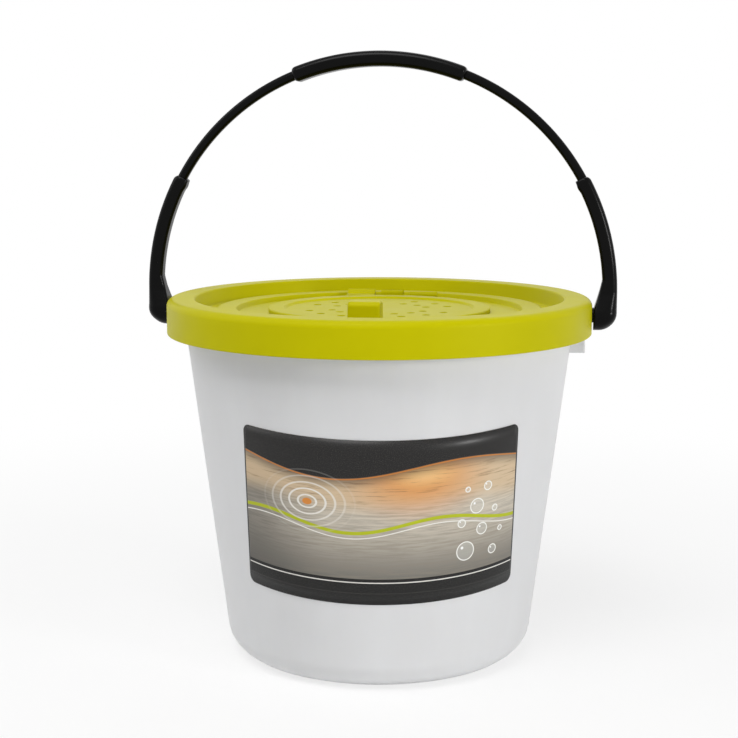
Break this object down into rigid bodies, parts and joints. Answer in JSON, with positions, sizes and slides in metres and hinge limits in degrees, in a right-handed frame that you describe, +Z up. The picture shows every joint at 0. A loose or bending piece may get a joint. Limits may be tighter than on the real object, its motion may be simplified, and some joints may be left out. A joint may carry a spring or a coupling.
{
  "type": "bait bucket",
  "caption": "Tapered plastic pail with a stepped lift-off lid, a hinged perforated hatch with a thumb tab, a swinging bail with a hand grip, and a loop and hose hole for an air pump.",
  "frame": {"origin": "on the floor, under the middle of the bucket", "axes": "+Z up; the bail's axis runs along X; the hatch's thumb tab and the label face -Y, and the hatch's hinge and the air pump loop are at +Y"},
  "size_m": [0.3184, 0.286, 0.4059],
  "materials": {
    "white_plastic": "moulded polyethylene, satin",
    "label_film": "printed film, semi-gloss",
    "lime_plastic": "moulded polypropylene, semi-gloss",
    "black_plastic": "moulded polypropylene, satin"
  },
  "bodies": {
    "bucket": {"bucket": "white_plastic", "label": "label_film"},
    "lid": {"lid": "lime_plastic"},
    "hatch": {"hatch": "lime_plastic"},
    "bail": {"bail_strap": "black_plastic", "hand_grip": "black_plastic", "bail_arm_left": "black_plastic", "bail_arm_right": "black_plastic"}
  },
  "joints": [
    {"name": "lid_lift", "type": "slide", "parent": "bucket", "child": "lid", "axis": [0, 0, 1], "range_m": [0, 0.04]},
    {"name": "hatch_swing", "type": "hinge", "parent": "lid", "child": "hatch", "pos_m": [0, 0.084, 0.2354], "axis": [-1, 0, 0], "range_deg": [0, 110]},
    {"name": "bail_swing", "type": "hinge", "parent": "bucket", "child": "bail", "pos_m": [0, 0, 0.232], "axis": [1, 0, 0], "range_deg": [-130, 130]}
  ]
}
